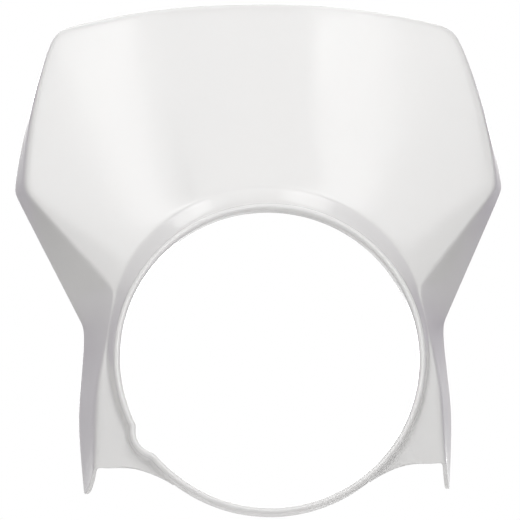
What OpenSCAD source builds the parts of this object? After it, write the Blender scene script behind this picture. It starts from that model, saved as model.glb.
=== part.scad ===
// Headlight cowl: one white moulded shell around a round motorbike headlamp.
// Millimetres. The origin is the centre of the lamp ring, where the straight
// wall of its bore begins. The front looks along -Y, up is +Z, and +X is on
// the right of someone who looks at the front.

/* [Lamp ring] */
// Radius of the bore that goes over the lamp's rim
bore_r = 85; // [70:0.5:100]
// Length of the bore's straight wall
bore_len = 10; // [7:0.5:14]
// Thickness of the ring's wall at its front lip
ring_wall = 3.6; // [3.2:0.1:4.5]
// How much thicker the ring's wall is at the back than at the lip
ring_draft = 1.2; // [0:0.1:3]

/* [Shell] */
// Thickness of the moulded wall
wall = 2.4; // [1.8:0.1:2.8]
// How far each side of a folded edge its rounding reaches
fold_reach = 7; // [6:0.5:9]

/* [Band round the ring] */
// Width of the sloping band, seen from the front
band_w = 12; // [9:0.5:15]
// Depth of the band's outer edge behind the lip
band_depth = 13; // [10:0.5:16]
// Width that is left of the band at the foot of the legs
band_foot_w = 1.5; // [1:0.5:4]
// Depth of the band's outer edge behind the lip at the foot of the legs
band_foot_depth = 8; // [6:0.5:10]

/* [Visor] */
// Height of the top edge above the ring's centre, in the middle
visor_top = 225; // [190:1:240]
// Depth of the top edge behind the lip, in the middle
visor_top_depth = 70; // [50:1:95]
// Half the width between the two top corners
corner_x = 121.5; // [108:0.5:130]
// Height of the top corners
corner_z = 213; // [197:1:220]
// Depth of the top corners behind the lip
corner_depth = 84; // [65:1:105]
// Rounding of the top corners
corner_round = 15; // [10:1:20]
// Overall width, across the flared rear corners of the side walls
cowl_w = 293; // [277:1:309]
// Height of the side corners
side_z = 105; // [90:1:110]
// Depth of the side corners behind the lip
side_depth = 50; // [38:1:62]
// Rounding of the side corners
side_round = 9; // [7:1:14]
// How far the edge between the two corners bows outwards
side_bow = 6.5; // [2:0.5:8]

/* [Folded back edges] */
// Depth of the turned edge along the top
lip_depth = 7; // [6:0.5:12]
// Depth of the turned edge at the side corners
side_return = 24; // [16:1:32]
// How far the turned edge flares outwards at the side corners
side_flare = 7.5; // [4:0.5:11]

/* [Pinch beside the ring] */
// Angle from the top at which the crease reaches the band
pinch_angle = 65; // [62:0.5:68]
// Distance between the band and the crease there
pinch_gap = 1; // [0.5:0.5:4]

/* [Waist and legs] */
// Half the width between the outer edges at the waist
waist_x = 105; // [102:0.5:108]
// Height of the waist
waist_z = 23; // [15:1:28]
// Half the width between the outer edges of the legs
leg_x = 110; // [107:0.5:114]
// Half the width between the bends of the legs at their lower end
bend_x = 100.5; // [97:0.5:102]
// Depth of the legs' front faces behind the lip
leg_depth = 15; // [13:0.5:18]
// Depth of the rear edges of the legs
leg_back = 55; // [45:1:65]
// Height of the bottom edge of the legs' front faces
leg_bottom = -59; // [-64:1:-56]
// Rise of the arch in that bottom edge
leg_arch = 5; // [1:0.5:6]
// Height of the tips of the feet
foot_z = -73; // [-80:1:-69]
// Half the width between the tips of the feet
foot_x = 106.5; // [104:0.5:110]
// Angle from the top at which a leg ends on the ring
leg_angle = 142; // [138:1:144]

/* [Notch in the ring] */
// Depth of the notch beyond the bore's wall
notch_depth = 3.4; // [2:0.2:4]
// Radius of the notch
notch_r = 12; // [10:0.5:14]
// Angle of the notch, from the top, on the left side
notch_angle = 122.5; // [119:0.5:125]

/* [Hidden] */
$fn = 90;

// The shell starts inside the ring's wall and leaves it a little behind the lip
sunk = 1.6;
root_sunk = 0.4;
root_depth = 1.2;
// How far a cutting shape reaches past the wall that it cuts
through = 4;
// Angle between two points of the rounded lip
lip_step = 30;
// Steps of the surface between two key lines, and between two key points of a line
steps_around = 3;
steps_across = 2;
// Reach of the rounding between the ring's wall and the band, and past the band
root_reach = 3;
band_reach = 4;
// No rounding takes up more than this share of the line that it lies on
most_rounded = 0.45;
// How much narrower the band is at the pinch, and how its width fades to both sides of it
pinch_narrows = 5;
fade_above = 4;
fade_below = 0.45;
// How late along the legs the band's outer edge comes forward
depth_fade = 3;
// How squarely the arched top edge runs into its corners
top_square = 2.5;
// The bend of a leg bows outwards below the waist and leans back a little on its way down
bend_bow = 2.5;
bend_lean = 1;
// The rear edge rises behind the side corners
rear_rise = 4;
// The rear edge of a leg is curved: it stands this much forward at the waist and the foot
leg_bow = 3;
// Place of the mid point across a flank, as a share of its width
flank_mid = 0.62;
// Angle over which the last part of a leg turns into its foot, and how much of the foot's
// drop the fold and the middle of the flank take part in
foot_turn = 16;
fold_drop = 0.2;
flank_drop = 0.3;

nose = ring_wall / 2;
r_lip = bore_r + ring_wall;
side_x = cowl_w / 2 - side_flare;

function mix(a, b, t) = a + (b - a) * t;
function towards(a, b, d) = a + (b - a) * min(d / norm(b - a), most_rounded);
function unit(v) = v / norm(v);
function flip(p) = [-p.x, p.y, p.z];

// A point at an angle from the top of the ring, a radius and a depth
function polar(angle, r, y) = [r * sin(angle), y, r * cos(angle)];

// The band narrows a little down to the pinch and dwindles along the legs
band_pinch_w = band_w - pinch_narrows;
function band_width(angle) =
    angle <= pinch_angle ? mix(band_w, band_pinch_w, pow(angle / pinch_angle, fade_above))
    : mix(band_pinch_w, band_foot_w, pow((angle - pinch_angle) / (leg_angle - pinch_angle), fade_below));

// The band's outer edge lies deep down to the pinch and comes forward along the legs
function band_back(angle) =
    mix(band_depth, band_foot_depth, pow(max(0, (angle - pinch_angle) / (leg_angle - pinch_angle)), depth_fade));

// Angles from the top at which the key lines across the shell leave the ring
ANGLES = [
    0, 11, 21, 28, 32, 36, 40.5, 45, 48.5, 52, 56.5, 61, pinch_angle, 73, 84, 98, 112, 127, leg_angle
];
last = len(ANGLES) - 1;

// Down to the waist the fold keeps close beside the band
function beside_band(angle) =
    polar(angle, r_lip + band_width(angle) + pinch_gap, band_back(angle) + pinch_gap);

// Corners of the folded edge between the front faces and the turned-back walls
apex = [0, visor_top_depth, visor_top];
corner = [corner_x, corner_depth, corner_z];
side = [side_x, side_depth, side_z];
pinch = beside_band(pinch_angle);
bend_top = beside_band(ANGLES[14]);
bend_foot = [bend_x, leg_depth + bend_lean, leg_bottom];

// The top edge is an arch from the apex to the corner
function top_edge(t) = [corner.x * t, mix(apex.y, corner.y, t * t), mix(apex.z, corner.z, pow(t, top_square))];
bow = [side_bow, 0, 0];

// Key points of the folded edge: top, corner, side, crease, pinch, bend of the leg
EDGE = [
    top_edge(0),
    top_edge(0.3),
    top_edge(0.6),
    towards(corner, top_edge(0.6), corner_round),
    corner,
    towards(corner, side, corner_round) + bow / 2,
    mix(corner, side, 0.5) + bow,
    towards(side, corner, side_round) + bow / 2,
    side,
    towards(side, pinch, side_round),
    mix(side, pinch, 0.5),
    towards(pinch, side, side_round),
    pinch,
    beside_band(ANGLES[13]),
    bend_top,
    mix(bend_top, bend_foot, 0.32) + [bend_bow, 0, 0],
    mix(bend_top, bend_foot, 0.6) + [bend_bow / 2, 0, 0],
    mix(bend_top, bend_foot, 0.88),
    bend_foot
];

// Key points of the rear edge, one behind each key point of the folded edge
back = [0, 1, 0];
flare = [side_flare, 0, 0];
side_rear = side + [side_flare, side_return, rear_rise];
waist_rear = [waist_x, leg_back - leg_bow, waist_z];
leg_rear = [leg_x, leg_back, leg_bottom / 2];
foot = [foot_x, leg_back - leg_bow, foot_z];

REAR = [
    EDGE[0] + back * lip_depth,
    EDGE[1] + back * lip_depth,
    EDGE[2] + back * lip_depth,
    EDGE[3] + back * lip_depth,
    EDGE[4] + back * lip_depth,
    EDGE[5] + back * mix(lip_depth, side_return, 0.15) + flare * 0.1,
    EDGE[6] + back * mix(lip_depth, side_return, 0.5) + flare * 0.4,
    EDGE[7] + back * mix(lip_depth, side_return, 0.85) + flare * 0.8,
    side_rear,
    mix(side_rear, waist_rear, 0.12),
    mix(side_rear, waist_rear, 0.4),
    mix(side_rear, waist_rear, 0.65),
    mix(side_rear, waist_rear, 0.82),
    mix(side_rear, waist_rear, 0.94),
    waist_rear,
    mix(waist_rear, leg_rear, 0.6),
    leg_rear,
    mix(leg_rear, foot, 0.7),
    foot
];

// A smooth curve near its key values: a cubic blend of four neighbours
function blend(v, i, t) =
    v[i] * pow(1 - t, 3) / 6
    + v[i + 1] * (3 * t * t * t - 6 * t * t + 4) / 6
    + v[i + 2] * (-3 * t * t * t + 3 * t * t + 3 * t + 1) / 6
    + v[i + 3] * t * t * t / 6;

// The key values with one more before the first and one more after the last
function extended(first, v) = concat([first], v, [2 * v[len(v) - 1] - v[len(v) - 2]]);
ANGLE_KEYS = extended(-ANGLES[1], ANGLES);
EDGE_KEYS = extended(flip(EDGE[1]), EDGE);
REAR_KEYS = extended(flip(REAR[1]), REAR);

// Key points of one line across the shell: ring wall, band, face, fold, turned wall
function line_across(angle, edge, rear) = let(
    band = polar(angle, r_lip + band_width(angle), band_back(angle)),
    root = polar(angle, r_lip - root_sunk, root_depth),
    start = polar(angle, r_lip - sunk, root_depth - root_sunk),
    end_share = pow(max(0, (angle - leg_angle + foot_turn) / foot_turn), 2),
    arch = [0, 0, leg_arch * end_share],
    drop = [0, 0, (rear.z - edge.z) * end_share]
) [
    start,
    root,
    towards(band, root, root_reach),
    band,
    towards(band, edge, band_reach) + arch / 2,
    mix(band, edge, 0.5) + arch,
    towards(edge, band, fold_reach),
    edge,
    towards(edge, rear, fold_reach) + drop * fold_drop,
    mix(edge, rear, flank_mid) + drop * flank_drop,
    rear
];

// Points of the skin along such a line
function skin_line(line) = let(
    keys = extended(2 * line[0] - line[1], line),
    spans = len(line) - 1
) [
    for (k = [0:spans - 1]) for (t = [0:steps_across - 1]) blend(keys, k, t / steps_across),
    blend(keys, spans - 1, 1)
];
function line_at(i, t) =
    skin_line(line_across(blend(ANGLE_KEYS, i, t), blend(EDGE_KEYS, i, t), blend(REAR_KEYS, i, t)));
RIGHT = [
    for (i = [0:last - 1]) for (t = [0:steps_around - 1]) line_at(i, t / steps_around),
    line_at(last - 1, 1)
];

// The left half is the right one mirrored
LEFT = [for (i = [len(RIGHT) - 1:-1:1]) [for (p = RIGHT[i]) flip(p)]];
SKIN = concat(LEFT, RIGHT);
rows = len(SKIN);
cols = len(SKIN[0]);

// The inner side lies one wall thickness behind the skin, square to it
function inward(i, k) = unit(cross(
    SKIN[i][min(k + 1, cols - 1)] - SKIN[i][max(k - 1, 0)],
    SKIN[min(i + 1, rows - 1)][k] - SKIN[max(i - 1, 0)][k]
));

module shell() {
    function outer(i, k) = i * cols + k;
    function inner(i, k) = (rows + i) * cols + k;
    function two_faces(a, b, c, d) = [[a, c, b], [a, d, c]];
    points = concat(
        [for (i = [0:rows - 1]) for (k = [0:cols - 1]) SKIN[i][k]],
        [for (i = [0:rows - 1]) for (k = [0:cols - 1]) SKIN[i][k] + wall * inward(i, k)]
    );
    end = cols - 1;
    foot_row = rows - 1;
    faces = [
        for (i = [0:rows - 2]) for (k = [0:cols - 2])
            each two_faces(outer(i, k), outer(i + 1, k), outer(i + 1, k + 1), outer(i, k + 1)),
        for (i = [0:rows - 2]) for (k = [0:cols - 2])
            each two_faces(inner(i, k), inner(i, k + 1), inner(i + 1, k + 1), inner(i + 1, k)),
        for (i = [0:rows - 2]) each two_faces(outer(i, 0), inner(i, 0), inner(i + 1, 0), outer(i + 1, 0)),
        for (i = [0:rows - 2])
            each two_faces(outer(i, end), outer(i + 1, end), inner(i + 1, end), inner(i, end)),
        for (k = [0:cols - 2]) each two_faces(outer(0, k), outer(0, k + 1), inner(0, k + 1), inner(0, k)),
        for (k = [0:cols - 2])
            each two_faces(outer(foot_row, k), inner(foot_row, k), inner(foot_row, k + 1), outer(foot_row, k + 1))
    ];
    polyhedron(points, faces);
}

// Turns a shape drawn along Z so that it runs back along Y
module facing_back() {
    rotate([-90, 0, 0]) children();
}

// A disc whose front edge is the outer half of a rounded lip
module lip_disc(r) {
    rotate_extrude()
        polygon(concat(
            [[0, -nose]],
            [for (a = [270:lip_step:360]) [r + nose + nose * cos(a), nose * sin(a)]],
            [[r + ring_wall + ring_draft, bore_len], [0, bore_len]]
        ));
}

// The space inside a lip: it flares at the front round the lip's inner half
module lip_opening(r) {
    rotate_extrude()
        polygon(concat(
            [[0, bore_len + through], [r, bore_len + through]],
            [for (a = [180:lip_step:270]) [r + nose + nose * cos(a), nose * sin(a)]],
            [[r + nose, -through], [0, -through]]
        ));
}

// The wall round the notch repeats the ring's wall on a smaller circle
module at_notch() {
    translate(polar(-notch_angle, bore_r + notch_depth - notch_r, 0)) facing_back() children();
}

module cowl() {
    color("white") difference() {
        union() {
            shell();
            facing_back() lip_disc(bore_r);
            at_notch() lip_disc(notch_r);
        }
        at_notch() lip_opening(notch_r);
        facing_back() lip_opening(bore_r);
    }
}

cowl();
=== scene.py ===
# %% [markdown]
# # A headlight cowl
# The object is one moulding of glossy white plastic that goes round a motorbike's headlamp.
# A round ring with a rounded lip takes the lamp. A sloping band runs round the ring, a tall
# visor sweeps up and back above it, its edges are turned back, and two legs stand below.
# The measured part is loaded first and kept as it is. Everything else is made to fit it.

# %% Load the measured part
import math

import bmesh
import bpy
from mathutils import Matrix, Vector


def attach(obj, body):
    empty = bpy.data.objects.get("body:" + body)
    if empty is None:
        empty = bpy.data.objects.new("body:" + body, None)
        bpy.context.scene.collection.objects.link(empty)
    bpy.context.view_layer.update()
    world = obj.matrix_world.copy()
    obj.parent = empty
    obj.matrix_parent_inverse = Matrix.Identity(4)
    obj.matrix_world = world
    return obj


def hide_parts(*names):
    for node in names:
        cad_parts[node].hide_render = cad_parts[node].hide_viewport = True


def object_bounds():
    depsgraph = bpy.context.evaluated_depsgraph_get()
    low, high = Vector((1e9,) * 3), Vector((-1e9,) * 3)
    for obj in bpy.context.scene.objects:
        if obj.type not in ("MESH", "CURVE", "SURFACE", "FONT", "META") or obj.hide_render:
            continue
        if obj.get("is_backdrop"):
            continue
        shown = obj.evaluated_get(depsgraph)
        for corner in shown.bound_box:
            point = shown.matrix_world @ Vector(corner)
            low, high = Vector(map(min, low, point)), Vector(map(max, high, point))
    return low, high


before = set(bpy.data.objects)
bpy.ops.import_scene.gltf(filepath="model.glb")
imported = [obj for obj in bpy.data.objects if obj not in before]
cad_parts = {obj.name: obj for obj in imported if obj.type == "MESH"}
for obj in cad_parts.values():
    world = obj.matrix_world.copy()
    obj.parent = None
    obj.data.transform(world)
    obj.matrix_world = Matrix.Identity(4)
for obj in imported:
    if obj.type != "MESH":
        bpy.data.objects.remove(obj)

cad_box = [list(corner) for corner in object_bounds()]
print("measured part, lowest and highest corner in metres:", cad_box)

# %% [markdown]
# ## The sizes
# A cowl like this is drawn by a few lines: the circle of the lamp ring, the folded edge
# that runs over the top, round the corners and down the legs, and the rear edge behind it.
# The same sizes as in the measured part are used here, in millimetres, so that the shell
# lies exactly where the solid is. They are scaled to metres when the mesh is finished.

# %% Sizes in millimetres
MM = 0.001

bore_r = 85.0
bore_len = 10.0
ring_wall = 3.6
ring_draft = 1.2
nose = ring_wall / 2
r_lip = bore_r + ring_wall
r_back = r_lip + ring_draft

wall = 2.4
fold_reach = 7.0
band_w, band_depth = 12.0, 13.0
band_foot_w, band_foot_depth = 1.5, 8.0
visor_top, visor_top_depth = 225.0, 70.0
corner = Vector((121.5, 84.0, 213.0))
corner_round = 15.0
cowl_w = 293.0
side_return, side_flare = 24.0, 7.5
side = Vector((cowl_w / 2 - side_flare, 50.0, 105.0))
side_round, side_bow = 9.0, 6.5
lip_depth = 7.0
pinch_angle, pinch_gap = 65.0, 1.0
waist_x, waist_z = 105.0, 23.0
leg_x, bend_x = 110.0, 100.5
leg_depth, leg_back = 15.0, 55.0
leg_bottom, leg_arch = -59.0, 5.0
foot_x, foot_z = 106.5, -73.0
leg_angle = 142.0
notch_depth, notch_r, notch_angle = 3.4, 12.0, 122.5

root_sunk, root_depth = 0.4, 1.2
root_reach, band_reach = 3.0, 4.0
most_rounded = 0.45
pinch_narrows, fade_above, fade_below = 5.0, 4.0, 0.45
depth_fade = 3.0
top_square = 2.5
bend_bow, bend_lean = 2.5, 1.0
rear_rise, leg_bow = 4.0, 3.0
flank_mid = 0.62
foot_turn, fold_drop, flank_drop = 16.0, 0.2, 0.3
print("the bore is", 2 * bore_r, "mm across, the visor reaches", visor_top, "mm above its centre")

# %% [markdown]
# ## Points and blends
# Small helpers place the key points: a share of the way between two points, a fixed reach
# from one point towards another, a point at an angle round the ring, and its mirror on the
# left. The blend turns neighbouring key values into a smooth curve, the way a thin wooden
# batten bends past its nails without a kink.

# %% Helpers for key points
def mix(a, b, share):
    return a + (b - a) * share


def towards(a, b, reach):
    return a + (b - a) * min(reach / (b - a).length, most_rounded)


def polar(angle, radius, depth):
    turn = math.radians(angle)
    return Vector((radius * math.sin(turn), depth, radius * math.cos(turn)))


def flip(point):
    return Vector((-point.x, point.y, point.z))


def blend(values, place):
    first = min(int(place), len(values) - 4)
    t = place - first
    weights = (
        (1 - t) ** 3 / 6,
        (3 * t**3 - 6 * t**2 + 4) / 6,
        (-3 * t**3 + 3 * t**2 + 3 * t + 1) / 6,
        t**3 / 6,
    )
    total = values[first] * weights[0]
    for step in (1, 2, 3):
        total = total + values[first + step] * weights[step]
    return total


def extended(before, values):
    return [before] + list(values) + [values[-1] * 2 - values[-2]]


print("half way round the ring's right side:", polar(90, bore_r, 0))

# %% [markdown]
# ## The folded edge and the rear edge
# On the real cowl the eye follows two lines. The folded edge is where the smooth front turns
# back: an arch over the top, a tight corner, a bow down to the side corner, a crease back to
# the pinch beside the ring, and the bend of the leg. The rear edge runs behind it, close at
# the top and wide at the sides. Only the right half is written, because the left mirrors it.

# %% The two edge lines
leave_angles = [0, 11, 21, 28, 32, 36, 40.5, 45, 48.5, 52, 56.5, 61]
leave_angles += [pinch_angle, 73, 84, 98, 112, 127, leg_angle]


def band_width(angle):
    at_pinch = band_w - pinch_narrows
    if angle <= pinch_angle:
        return mix(band_w, at_pinch, (angle / pinch_angle) ** fade_above)
    share = (angle - pinch_angle) / (leg_angle - pinch_angle)
    return mix(at_pinch, band_foot_w, share**fade_below)


def band_back(angle):
    share = max(0.0, (angle - pinch_angle) / (leg_angle - pinch_angle))
    return mix(band_depth, band_foot_depth, share**depth_fade)


def top_edge(share):
    return Vector((
        corner.x * share,
        mix(visor_top_depth, corner.y, share**2),
        mix(visor_top, corner.z, share**top_square),
    ))


def beside_band(angle):
    return polar(angle, r_lip + band_width(angle) + pinch_gap, band_back(angle) + pinch_gap)


pinch = beside_band(pinch_angle)
bend_top = beside_band(leave_angles[14])
bend_foot = Vector((bend_x, leg_depth + bend_lean, leg_bottom))
bow = Vector((side_bow, 0, 0))

folded_edge = [
    top_edge(0.0),
    top_edge(0.3),
    top_edge(0.6),
    towards(corner, top_edge(0.6), corner_round),
    corner,
    towards(corner, side, corner_round) + bow / 2,
    mix(corner, side, 0.5) + bow,
    towards(side, corner, side_round) + bow / 2,
    side,
    towards(side, pinch, side_round),
    mix(side, pinch, 0.5),
    towards(pinch, side, side_round),
    pinch,
    beside_band(leave_angles[13]),
    bend_top,
    mix(bend_top, bend_foot, 0.32) + Vector((bend_bow, 0, 0)),
    mix(bend_top, bend_foot, 0.6) + Vector((bend_bow / 2, 0, 0)),
    mix(bend_top, bend_foot, 0.88),
    bend_foot,
]

side_rear = side + Vector((side_flare, side_return, rear_rise))
waist_rear = Vector((waist_x, leg_back - leg_bow, waist_z))
leg_rear = Vector((leg_x, leg_back, leg_bottom / 2))
foot = Vector((foot_x, leg_back - leg_bow, foot_z))

rear_edge = [point + Vector((0, lip_depth, 0)) for point in folded_edge[:5]]
for point, turned, flared in zip(folded_edge[5:8], (0.15, 0.5, 0.85), (0.1, 0.4, 0.8)):
    back = mix(lip_depth, side_return, turned)
    rear_edge.append(point + Vector((side_flare * flared, back, 0)))
rear_edge += [mix(side_rear, waist_rear, share) for share in (0.0, 0.12, 0.4, 0.65, 0.82, 0.94)]
rear_edge += [waist_rear, mix(waist_rear, leg_rear, 0.6), leg_rear, mix(leg_rear, foot, 0.7), foot]

print(len(folded_edge), "key points on the folded edge,", len(rear_edge), "on the rear edge")

# %% [markdown]
# ## The columns
# The shell is built in columns that run from the ring outwards, like the staves of a fan.
# They stand close together at the corners and at the notch, where the form turns quickly,
# and further apart on the long smooth parts. Below the legs only the thin hoop of the ring
# goes on. Each column knows its angle, its place on the edge lines and its side.

# %% Where the columns stand
steps_per_key = 4
notch_steps_per_key = 12
last_key = len(leave_angles) - 1
notch_keys = (16.0, 17.5)
hoop_columns = 19

angle_keys = extended(-leave_angles[1], leave_angles)
edge_keys = extended(flip(folded_edge[1]), folded_edge)
rear_keys = extended(flip(rear_edge[1]), rear_edge)


def places(with_notch):
    found, place = [0.0], 0.0
    while place < last_key - 1e-6:
        dense = with_notch and notch_keys[0] <= place + 1e-6 < notch_keys[1]
        place += 1 / (notch_steps_per_key if dense else steps_per_key)
        found.append(place)
    return found


left_columns = [(-blend(angle_keys, p), p, -1) for p in reversed(places(True))]
right_columns = [(blend(angle_keys, p), p, 1) for p in places(False)[1:]]
shell_columns = left_columns + right_columns
hoop_step = (360 - 2 * leg_angle) / (hoop_columns + 1)
hoop_angles = [leg_angle + hoop_step * (i + 1) for i in range(hoop_columns)]
column_angles = [column[0] for column in shell_columns] + hoop_angles
print(len(shell_columns), "columns of shell and", hoop_columns, "of bare hoop")

# %% [markdown]
# ## The rails
# Across a column the skin passes a few key points: the root at the ring, the outer edge of
# the sloping band, the middle of the face, the fold with a point on each side that rounds
# it, the flank and the rear edge. The inner side of the moulding lies one wall thickness
# behind the skin, measured square to it, as in a mould with an even gap.

# %% The rails of skin and inner side
def skin_keys(angle, edge, rear):
    band = polar(angle, r_lip + band_width(angle), band_back(angle))
    root = polar(angle, r_lip - root_sunk, root_depth)
    end = max(0.0, (angle - leg_angle + foot_turn) / foot_turn) ** 2
    arch = Vector((0, 0, leg_arch * end))
    drop = Vector((0, 0, (rear.z - edge.z) * end))
    return [
        root,
        towards(band, root, root_reach),
        band,
        towards(band, edge, band_reach) + arch / 2,
        mix(band, edge, 0.5) + arch,
        towards(edge, band, fold_reach),
        edge,
        towards(edge, rear, fold_reach) + drop * fold_drop,
        mix(edge, rear, flank_mid) + drop * flank_drop,
        rear,
    ]


skin = []
for angle, place, hand in shell_columns:
    line = skin_keys(abs(angle), blend(edge_keys, place), blend(rear_keys, place))
    skin.append([flip(p) if hand < 0 else p for p in line])

rails = len(skin[0])
last_column = len(skin) - 1


def inward(column, rail):
    along = skin[min(column + 1, last_column)][rail] - skin[max(column - 1, 0)][rail]
    across = skin[column][min(rail + 1, rails - 1)] - skin[column][max(rail - 1, 0)]
    return across.cross(along).normalized()


inner = [[skin[c][r] + inward(c, r) * wall for r in range(rails)] for c in range(len(skin))]
top_depth = skin[last_column // 2][-1].y
print(rails, "rails; the rear edge is", round(top_depth, 1), "mm deep at the top")

# %% [markdown]
# ## The notch
# Low on the left side the ring's wall steps round a small round notch. The ring keeps its
# wall thickness there, so lip, wall and band all move outwards by what the notch takes.
# One function says how far a point at a given angle and radius has to move.

# %% How far the notch pushes outwards
notch_centre = bore_r + notch_depth - notch_r
notch_span = math.pi / 6


def notch_push(angle, radius):
    off = math.radians(angle + notch_angle)
    if abs(off) > notch_span:
        return 0.0
    reach = notch_r + max(0.0, min(radius, r_back) - bore_r)
    inside = reach**2 - (notch_centre * math.sin(off)) ** 2
    if inside <= 0:
        return 0.0
    edge_radius = notch_centre * math.cos(off) + math.sqrt(inside)
    return max(0.0, edge_radius - min(radius, r_back))


print("push in the middle of the notch:", round(notch_push(-notch_angle, bore_r), 2), "mm")

# %% [markdown]
# ## Turning the ring
# The ring is a turned form, so a small closed outline of its wall is drawn once and spun
# round the lamp's axis. The points of the rounded lip lie a little outside the wanted
# radius, because subdivision pulls a cage inwards. Every point carries its row number, so
# that the rows can be found again after the spin.

# %% Spin the ring
lip_points = 1.995
rim_hold = 0.7
root_front, root_rear = 1.0, 4.8
rows = [
    (bore_r, 5.0),
    (bore_r, bore_len - rim_hold),
    (bore_r, bore_len),
    (bore_r + rim_hold, bore_len),
    (r_back - rim_hold, bore_len),
    (r_back, bore_len),
    (r_back - 0.05, bore_len - rim_hold),
    (r_lip + 0.6, root_rear),
    (r_lip + 0.1, root_front),
]
ROOT_REAR, ROOT_FRONT = len(rows) - 2, len(rows) - 1
for turn in (0, -45, -90, -135, -180):
    a = math.radians(turn)
    rows.append((bore_r + nose + lip_points * math.cos(a), lip_points * math.sin(a)))

cage = bmesh.new()
row_of = cage.verts.layers.int.new("row")
column_of = cage.verts.layers.int.new("column")
outline = []
for number, (radius, depth) in enumerate(rows):
    point = cage.verts.new((0, depth, radius))
    point[row_of] = number
    outline.append(point)
outline_edges = [cage.edges.new((a, b)) for a, b in zip(outline, outline[1:] + outline[:1])]
bmesh.ops.spin(
    cage,
    geom=outline + outline_edges,
    cent=(0, 0, 0),
    axis=(0, 1, 0),
    angle=2 * math.pi,
    steps=len(column_angles),
    use_merge=True,
)
print("spun ring:", len(cage.verts), "points,", len(cage.faces), "faces")

# %% [markdown]
# ## Sliding the columns
# A spin makes columns at even angles. Each one now slides round to its own angle, and the
# notch pushes its points outwards on the way. Along the legs the shell's inner side leaves
# the ring further back than at the top, so that row slides back there too.

# %% Slide the columns into place
even_step = 2 * math.pi / len(column_angles)
slide_from, slide_over = 75, 35
leg_root_rear = bore_len - 0.9


def ease(share):
    share = min(max(share, 0.0), 1.0)
    return share * share * (3 - 2 * share)


def root_rear_depth(angle):
    return mix(root_rear, leg_root_rear, ease((abs(angle) - slide_from) / slide_over))


for point in cage.verts:
    number = round(math.atan2(point.co.x, point.co.z) / even_step) % len(column_angles)
    angle = column_angles[number]
    radius, depth = rows[point[row_of]]
    if point[row_of] == ROOT_REAR:
        depth = root_rear_depth(angle)
        radius = mix(r_lip, r_back, depth / bore_len)
    point[column_of] = number
    point.co = polar(angle, radius + notch_push(angle, radius), depth)
print("columns from", round(column_angles[0]), "degrees on;", len(hoop_angles), "are on the hoop")

# %% [markdown]
# ## Drawing out the shell
# The strip of ring wall between the lip and the root of the shell is extruded outwards,
# once for each rail. After each extrusion its front points go to the skin and its rear
# points to the inner side, so the wall, the end of each leg and the rear edge all close by
# themselves and the whole cowl stays one watertight cage.

# %% Extrude from rail to rail
push_fades = {1: 0.95, 2: 0.7, 3: 0.35, 4: 0.1}
near_rails = 3
radius_per_rail, depth_per_rail = 0.25, 0.3
strip = [
    face for face in cage.faces
    if {p[row_of] for p in face.verts} == {ROOT_REAR, ROOT_FRONT}
    and all(p[column_of] <= last_column for p in face.verts)
]


def kept_off_ring(point, angle, rail):
    radius = math.hypot(point.x, point.z)
    turn = math.degrees(math.atan2(point.x, point.z))
    least_radius = r_back + radius_per_rail * rail
    least_depth = root_rear_depth(angle) + depth_per_rail * rail
    if rail > near_rails or (radius >= least_radius and point.y >= least_depth):
        return point
    return polar(turn, max(radius, least_radius), max(point.y, least_depth))


def rail_point(column, rail, at_front):
    angle = column_angles[column]
    point = skin[column][rail] if at_front else kept_off_ring(inner[column][rail], angle, rail)
    push = notch_push(angle, r_back) * push_fades.get(rail, 0.0)
    return point + polar(angle, push, 0)


for rail in range(1, rails):
    grown = bmesh.ops.extrude_face_region(cage, geom=strip)["geom"]
    leftover = [face for face in strip if face.is_valid]
    bmesh.ops.delete(cage, geom=leftover, context="FACES_KEEP_BOUNDARY")
    for point in (g for g in grown if isinstance(g, bmesh.types.BMVert)):
        point.co = rail_point(point[column_of], rail, point[row_of] == ROOT_FRONT)
    strip = [g for g in grown if isinstance(g, bmesh.types.BMFace)]
bmesh.ops.recalc_face_normals(cage, faces=cage.faces)
open_edges = [edge for edge in cage.edges if len(edge.link_faces) != 2]
print("cage:", len(cage.faces), "faces,", len(open_edges), "open edges")

# %% [markdown]
# ## The cut edges
# A moulded edge is never knife-sharp: it keeps a small radius from the mould. The edges of
# the rear rim and of the legs' ends are bevelled by well under a millimetre, and the
# subdivision then turns the bevel into a clean round.

# %% Bevel the rim
rim_round = 0.6
ring_gap = 0.3
rim_faces = set(strip)
rim_faces |= {
    face for face in cage.faces
    if len({p[column_of] for p in face.verts}) == 1
    and {p[row_of] for p in face.verts} == {ROOT_REAR, ROOT_FRONT}
}
rim_edges = [
    edge for edge in cage.edges
    if len([near for near in edge.link_faces if near in rim_faces]) == 1
    and min(math.hypot(p.co.x, p.co.z) for p in edge.verts) > r_back + ring_gap
]
bmesh.ops.bevel(
    cage, geom=rim_edges, offset=rim_round, offset_type="OFFSET", segments=2, profile=0.5,
    affect="EDGES", material=-1, clamp_overlap=True,
)
print(len(rim_edges), "edges bevelled,", len(cage.faces), "faces")

# %% [markdown]
# ## From cage to smooth shell
# The cage goes into an object in metres, without any turn or scale of its own, and a
# subdivision modifier rounds it. Its two levels are the same in the viewport and the render.

# %% Make the cowl object
bmesh.ops.scale(cage, vec=(MM, MM, MM), verts=cage.verts)
shape = bpy.data.meshes.new("cowl_shell")
cage.to_mesh(shape)
cage.free()
shape.shade_smooth()
cowl = bpy.data.objects.new("cowl_shell", shape)
bpy.context.scene.collection.objects.link(cowl)
smooth = cowl.modifiers.new("smooth", "SUBSURF")
smooth.levels = smooth.render_levels = 2
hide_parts("cowl")
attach(cowl, "root")
print("cowl shell:", len(shape.polygons), "faces in the cage")

# %% [markdown]
# ## The white plastic
# The real finish is bare glossy plastic, straight from a polished mould. It is almost plain,
# but never perfectly so: the tone drifts by a hair where the melt flowed, the gloss is a
# little uneven from handling, and a very fine ripple, like orange peel, softens the lamps'
# reflections. The ripple and the drift are one node group, so that they can be set by name.

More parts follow.
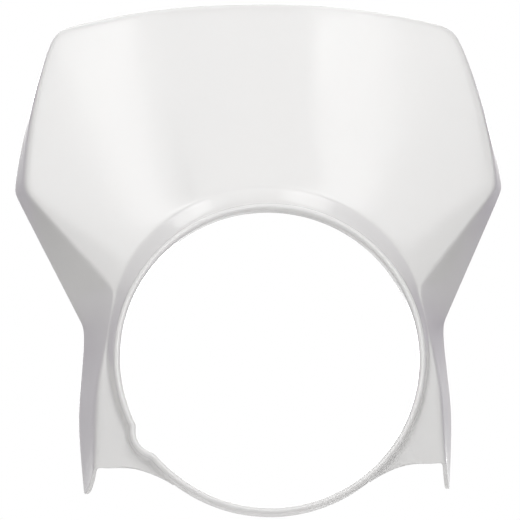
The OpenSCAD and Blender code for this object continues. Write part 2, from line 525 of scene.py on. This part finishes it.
# %% Surface group
flow_scale, handling_scale, ripple_scale = 14.0, 45.0, 110.0


def noise(tree, place, scale, detail):
    node = tree.nodes.new("ShaderNodeTexNoise")
    node.inputs["Scale"].default_value = scale
    node.inputs["Detail"].default_value = detail
    tree.links.new(place, node.inputs["Vector"])
    return node.outputs["Fac"]


def spread(tree, value, low, high):
    node = tree.nodes.new("ShaderNodeMapRange")
    tree.links.new(value, node.inputs["Value"])
    for name, source in (("To Min", low), ("To Max", high)):
        if isinstance(source, float):
            node.inputs[name].default_value = source
        else:
            tree.links.new(source, node.inputs[name])
    return node.outputs["Result"]


moulded = bpy.data.node_groups.new("moulded surface", "ShaderNodeTree")
sockets = (
    ("Place", "INPUT", "NodeSocketVector"),
    ("Colour", "INPUT", "NodeSocketColor"),
    ("Flow Colour", "INPUT", "NodeSocketColor"),
    ("Smooth Roughness", "INPUT", "NodeSocketFloat"),
    ("Handled Roughness", "INPUT", "NodeSocketFloat"),
    ("Colour", "OUTPUT", "NodeSocketColor"),
    ("Roughness", "OUTPUT", "NodeSocketFloat"),
    ("Ripple", "OUTPUT", "NodeSocketFloat"),
)
for name, way, kind in sockets:
    moulded.interface.new_socket(name=name, in_out=way, socket_type=kind)
enter = moulded.nodes.new("NodeGroupInput")
leave = moulded.nodes.new("NodeGroupOutput")
place_out = enter.outputs["Place"]
flow = moulded.nodes.new("ShaderNodeMix")
flow.data_type = "RGBA"
moulded.links.new(noise(moulded, place_out, flow_scale, 3.0), flow.inputs["Factor"])
moulded.links.new(enter.outputs["Colour"], flow.inputs["A"])
moulded.links.new(enter.outputs["Flow Colour"], flow.inputs["B"])
gloss = spread(
    moulded, noise(moulded, place_out, handling_scale, 4.0),
    enter.outputs["Smooth Roughness"], enter.outputs["Handled Roughness"],
)
ripple = noise(moulded, place_out, ripple_scale, 0.0)
moulded.links.new(flow.outputs["Result"], leave.inputs["Colour"])
moulded.links.new(gloss, leave.inputs["Roughness"])
moulded.links.new(ripple, leave.inputs["Ripple"])
print("surface group with", len(sockets), "sockets")

# %% [markdown]
# ## The material
# The shader itself stays in the material, with the index of refraction of a common plastic.
# The group feeds its colour, its roughness and, through a very weak bump, its normal.

# %% White plastic material
plastic = bpy.data.materials.new("white_plastic")
plastic.use_nodes = True
tree = plastic.node_tree
shader = tree.nodes["Principled BSDF"]
place = tree.nodes.new("ShaderNodeTexCoord")
surface = tree.nodes.new("ShaderNodeGroup")
surface.node_tree = moulded
surface.inputs["Colour"].default_value = (0.865, 0.862, 0.855, 1)
surface.inputs["Flow Colour"].default_value = (0.845, 0.845, 0.845, 1)
surface.inputs["Smooth Roughness"].default_value = 0.1
surface.inputs["Handled Roughness"].default_value = 0.16
bump = tree.nodes.new("ShaderNodeBump")
bump.inputs["Strength"].default_value = 0.1
bump.inputs["Distance"].default_value = 0.0003
tree.links.new(place.outputs["Object"], surface.inputs["Place"])
tree.links.new(surface.outputs["Colour"], shader.inputs["Base Color"])
tree.links.new(surface.outputs["Roughness"], shader.inputs["Roughness"])
tree.links.new(surface.outputs["Ripple"], bump.inputs["Height"])
tree.links.new(bump.outputs["Normal"], shader.inputs["Normal"])
shader.inputs["IOR"].default_value = 1.5
cowl.data.materials.append(plastic)
print("material on the cowl:", plastic.name)

# %% [markdown]
# ## The floor
# The cowl was photographed against plain white, with nothing to stand on. A pale floor lies
# well below it and out of the photograph's view, and shows in the views from other sides.

# %% Floor
floor_z, floor_half = -0.36, 3.0
floor_mesh = bmesh.new()
bmesh.ops.create_grid(
    floor_mesh, x_segments=1, y_segments=1, size=floor_half,
    matrix=Matrix.Translation((0, 0, floor_z)),
)
floor_shape = bpy.data.meshes.new("floor")
floor_mesh.to_mesh(floor_shape)
floor_mesh.free()
floor = bpy.data.objects.new("floor", floor_shape)
bpy.context.scene.collection.objects.link(floor)
floor_paint = bpy.data.materials.new("floor_paint")
floor_paint.use_nodes = True
floor_shader = floor_paint.node_tree.nodes["Principled BSDF"]
floor_shader.inputs["Base Color"].default_value = (0.9, 0.9, 0.9, 1)
floor_shader.inputs["Roughness"].default_value = 0.7
floor_shape.materials.append(floor_paint)
floor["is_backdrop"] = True
print("floor at", floor_z, "m")

# %% [markdown]
# ## The surroundings
# The world is white to the camera and in mirror reflections, but only a weak warm grey as a
# light, so that the hollows and the turned-back sides keep their shade. A studio isn't white
# all round: to the left and right behind the cowl the reflections see a grey wall, and that
# is what gives the sides of the legs and the folds their darker, slightly violet tone.

# %% World
world = bpy.data.worlds.new("white_room")
bpy.context.scene.world = world
world.use_nodes = True
room = world.node_tree
room.nodes.clear()


def room_math(operation, first, second=None):
    node = room.nodes.new("ShaderNodeMath")
    node.operation = operation
    room.links.new(first, node.inputs[0])
    if second is not None:
        room.links.new(second, node.inputs[1])
    return node.outputs[0]


def room_mix(factor, first, second):
    node = room.nodes.new("ShaderNodeMixShader")
    room.links.new(factor, node.inputs[0])
    room.links.new(first, node.inputs[1])
    room.links.new(second, node.inputs[2])
    return node.outputs[0]


def room_light(colour, strength):
    node = room.nodes.new("ShaderNodeBackground")
    node.inputs["Color"].default_value = (*colour, 1)
    node.inputs["Strength"].default_value = strength
    return node.outputs[0]


def room_ramp(value, low, high):
    node = room.nodes.new("ShaderNodeMapRange")
    node.inputs["From Min"].default_value = low
    node.inputs["From Max"].default_value = high
    room.links.new(value, node.inputs["Value"])
    return node.outputs[0]


white = room_light((1, 1, 1), 1.0)
side_wall = room_light((0.35, 0.3, 0.4), 1.0)
lit = room_light((1.0, 0.955, 0.92), 0.145)
rays = room.nodes.new("ShaderNodeLightPath").outputs
direction = room.nodes.new("ShaderNodeSeparateXYZ")
room.links.new(room.nodes.new("ShaderNodeTexCoord").outputs["Generated"], direction.inputs[0])
sideways = room_ramp(room_math("ABSOLUTE", direction.outputs["X"]), 0.25, 0.55)
behind = room_ramp(direction.outputs["Y"], -0.1, 0.2)
mirrored = room_mix(room_math("MULTIPLY", sideways, behind), white, side_wall)
direct = room_math("MAXIMUM", rays["Is Camera Ray"], rays["Is Transmission Ray"])
shown = room_mix(rays["Is Glossy Ray"], lit, mirrored)
shown = room_mix(direct, shown, white)
out = room.nodes.new("ShaderNodeOutputWorld")
room.links.new(shown, out.inputs["Surface"])
print("nodes in the room:", len(room.nodes))

# %% [markdown]
# ## The lamps
# Soft lamps stand two metres off. Two high boxes to the left and right of the camera, each
# with a narrow strip beside it, show as the pale slanted streaks on the visor. One between
# them and one straight above light the top of the band, and two small ones above and behind
# put a short gleam on each side of it. A wide one in front reaches the legs and the lip, and
# one behind lights the back, which the photograph doesn't show.

# %% Lamps
centre = Vector((0, 0.03, 0.07))
lamps = (
    # name, place, width, height, watts
    ("left_strip", (-0.81, -0.82, 1.69), 0.2, 1.0, 1.4),
    ("right_strip", (0.73, -0.76, 1.76), 0.4, 1.0, 2.1),
    ("left_box", (-1.06, -0.86, 1.51), 0.7, 1.2, 4.9),
    ("right_box", (1.01, -0.85, 1.56), 0.7, 1.2, 4.4),
    ("middle_box", (0.0, -0.97, 1.8), 1.1, 0.7, 3.5),
    ("front_box", (0.0, -1.9, 0.59), 1.2, 1.0, 12.7),
    ("top_box", (0.0, -0.04, 2.07), 1.6, 0.9, 4.6),
    ("left_top_box", (-0.77, 0.28, 1.9), 0.5, 0.5, 1.6),
    ("right_top_box", (0.59, 0.37, 1.95), 0.5, 0.5, 1.2),
    ("back_box", (0.0, 1.9, 0.6), 1.2, 1.0, 14.0),
)
for name, spot, width, height, power in lamps:
    lamp_data = bpy.data.lights.new(name, "AREA")
    lamp_data.shape = "RECTANGLE"
    lamp_data.size, lamp_data.size_y = width, height
    lamp_data.energy = power
    lamp = bpy.data.objects.new(name, lamp_data)
    lamp.location = spot
    lamp.rotation_euler = (centre - Vector(spot)).to_track_quat("-Z", "Y").to_euler()
    bpy.context.scene.collection.objects.link(lamp)

# %% [markdown]
# ## The camera
# The photograph looks at the cowl from a little to the left and from below, with a long
# lens, so near and far parts keep almost the same scale. The camera is rolled by one degree.

# %% Camera
image_px = 520
ring_px = (270.3, 357.4)
focal_px = 2645.5
distance = 1.5
yaw, pitch, roll = math.radians(3.5), math.radians(-7.0), math.radians(1.1)

eye = Vector((
    -math.sin(yaw) * math.cos(pitch),
    -math.cos(yaw) * math.cos(pitch),
    math.sin(pitch),
)) * distance
ahead = -eye.normalized()
right = Vector((math.cos(yaw), -math.sin(yaw), 0))
up = right.cross(ahead)
right, up = (
    right * math.cos(roll) - up * math.sin(roll),
    right * math.sin(roll) + up * math.cos(roll),
)
across = (image_px / 2 - ring_px[0]) / focal_px
above = (ring_px[1] - image_px / 2) / focal_px
aim = (ahead + right * across + up * above).normalized()
right = aim.cross(up).normalized()
up = right.cross(aim).normalized()

camera_data = bpy.data.cameras.new("camera")
camera_data.sensor_width = 36.0
camera_data.lens = focal_px / image_px * camera_data.sensor_width
camera = bpy.data.objects.new("camera", camera_data)
camera.matrix_world = Matrix((
    (right.x, up.x, -aim.x, eye.x),
    (right.y, up.y, -aim.y, eye.y),
    (right.z, up.z, -aim.z, eye.z),
    (0, 0, 0, 1),
))
bpy.context.scene.collection.objects.link(camera)
bpy.context.scene.camera = camera
bpy.context.scene.view_settings.view_transform = "Standard"
print("lens", round(camera_data.lens, 1), "mm, camera at", [round(v, 3) for v in eye])

# %% [markdown]
# ## Both sizes
# The box of the measured part and the box of the shown scene are printed side by side.

# %% Print both sizes
look_box = [list(corner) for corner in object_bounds()]
for name, part, look in zip("xyz", zip(*cad_box), zip(*look_box)):
    print(name, "measured", [round(v / MM, 2) for v in part])
    print(name, "shown", [round(v / MM, 2) for v in look])
